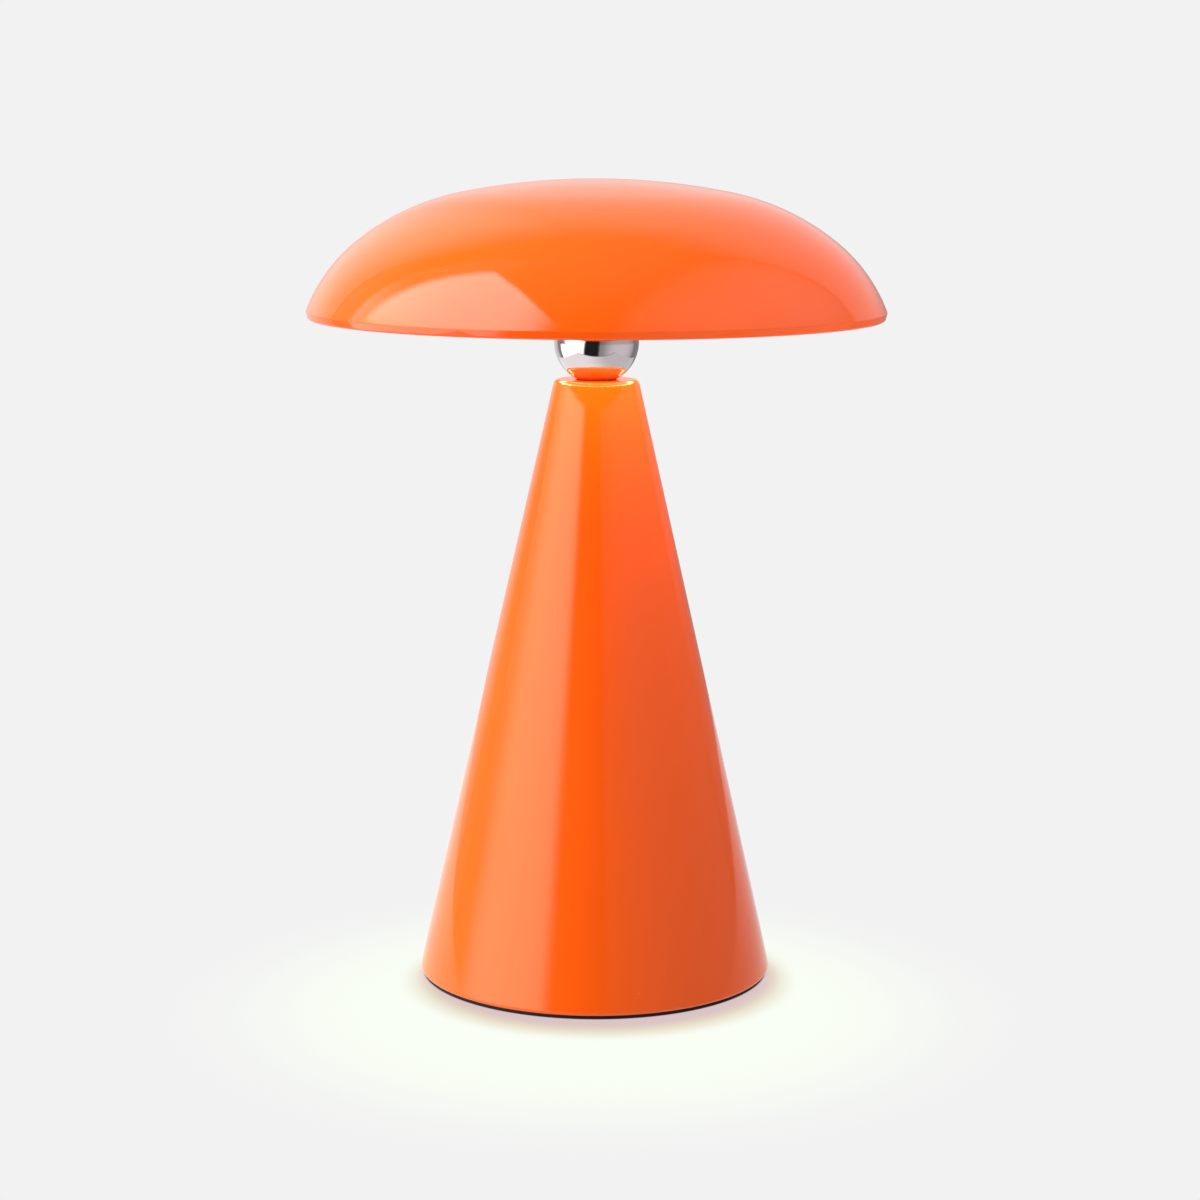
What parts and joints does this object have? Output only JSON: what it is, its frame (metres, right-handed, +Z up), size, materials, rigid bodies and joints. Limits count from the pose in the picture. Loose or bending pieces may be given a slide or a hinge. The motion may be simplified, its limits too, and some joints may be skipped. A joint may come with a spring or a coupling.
{
  "type": "table lamp",
  "caption": "Cordless mushroom table lamp: a spun dome shade over a chrome ball on a tall lacquered cone, lit by LEDs under the shade, with a push button and charging inlet at the back.",
  "frame": {"origin": "centre of the underside of the foot pad, on the table", "axes": "+Z up along the lamp's axis, -Y towards the front, +Y towards the button and charging inlet"},
  "size_m": [0.2, 0.2, 0.28],
  "materials": {
    "lacquer": "glossy clear-coated orange lacquer, inside the shade too",
    "chrome": "polished chrome plate",
    "steel": "zinc-plated steel",
    "aluminium": "pressed aluminium sheet",
    "iron": "as cast",
    "foot_foam": "black non-slip foam rubber",
    "opal": "opal satin diffuser",
    "led": "warm white light-emitting chips",
    "white_board": "white solder mask",
    "green_board": "green solder mask",
    "components": "moulded component bodies",
    "black_plastic": "fine-grained moulded plastic",
    "button_plastic": "satin moulded plastic",
    "clear_plastic": "clear light pipe",
    "cell_wrap": "shrink wrap over steel cells",
    "lead_sheath": "white sheathed lead"
  },
  "bodies": {
    "lamp": {"shade_dome": "lacquer", "cone_body": "lacquer", "chrome_ball": "chrome", "neck_sleeve": "chrome", "shade_hub": "steel", "threaded_tube": "steel", "neck_washer": "steel", "neck_nut": "steel", "base_tabs": "steel", "base_plate": "steel", "usb_shell": "steel", "led_board_screws": "steel", "cover_screws": "steel", "plate_screws": "steel", "ballast_screws": "steel", "holder_screws": "steel", "bracket_screws": "steel", "board_screws": "steel", "battery_contacts": "steel", "led_carrier": "aluminium", "ballast": "iron", "foot_pad": "foot_foam", "light_cover": "opal", "led_chips": "led", "led_board": "white_board", "control_board": "green_board", "board_components": "components", "lead_sockets": "components", "port_bezel": "black_plastic", "button_collar": "black_plastic", "switch_body": "black_plastic", "usb_tongue": "black_plastic", "tube_bushes": "black_plastic", "cable_grommet": "black_plastic", "battery_holder": "black_plastic", "board_bracket": "black_plastic", "light_pipe": "clear_plastic", "battery_cells": "cell_wrap", "led_lead": "lead_sheath", "battery_lead": "lead_sheath"},
    "button": {"power_button": "button_plastic", "switch_plunger": "button_plastic"}
  },
  "joints": [
    {"name": "button_press", "type": "slide", "parent": "lamp", "child": "button", "axis": [0, -0.975, -0.2223], "range_m": [0, 0.0008], "stiffness_N_per_m": 800, "springref_m": -0.001}
  ]
}
